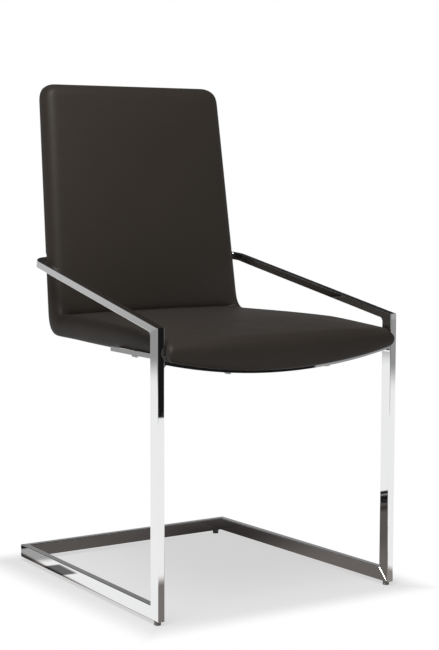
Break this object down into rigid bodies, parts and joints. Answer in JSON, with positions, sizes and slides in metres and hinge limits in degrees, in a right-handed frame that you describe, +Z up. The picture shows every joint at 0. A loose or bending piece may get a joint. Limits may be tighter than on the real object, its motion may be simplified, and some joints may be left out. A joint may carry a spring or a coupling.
{
  "type": "cantilever chair",
  "caption": "Padded L-shaped seat shell carried at its front and rear by a polished rectangular tube frame with sloping arms and a U-shaped floor base",
  "frame": {"origin": "centre of the floor footprint under the whole chair, on the floor", "axes": "+X to the sitter's left hand, -Y the way the sitter faces, +Z up"},
  "size_m": [0.52, 0.5741, 0.9472],
  "materials": {
    "chrome_frame": "polished bright plating, mirror-like",
    "glide_plastic": "black moulded nylon, satin",
    "leatherette": "dark brown-grey soft coated cloth, fine grain, low sheen",
    "seat_foam": "cut polyurethane foam, open-celled, matt",
    "plywood": "bare moulded plywood, matt",
    "lining_cloth": "black non-woven cloth, matt",
    "zinc_steel": "bright zinc-plated steel"
  },
  "bodies": {
    "root": {"right_runner": "chrome_frame", "left_runner": "chrome_frame", "rear_floor_bar": "chrome_frame", "right_front_leg": "chrome_frame", "left_front_leg": "chrome_frame", "arm_loop": "chrome_frame", "front_seat_rail": "chrome_frame", "right_seat_bracket": "chrome_frame", "left_seat_bracket": "chrome_frame", "floor_glides": "glide_plastic", "seat_board": "plywood", "back_board": "plywood", "left_corner_strap": "zinc_steel", "right_corner_strap": "zinc_steel", "strap_screws": "zinc_steel", "seat_tee_nuts": "zinc_steel", "rail_screws": "zinc_steel", "bracket_screws": "zinc_steel", "back_inserts": "zinc_steel", "back_bolts": "zinc_steel", "back_washers": "zinc_steel", "underside_lining": "lining_cloth", "seat_cover": "leatherette", "back_cover": "leatherette", "seat_foam": "seat_foam", "back_foam": "seat_foam"}
  },
  "joints": []
}
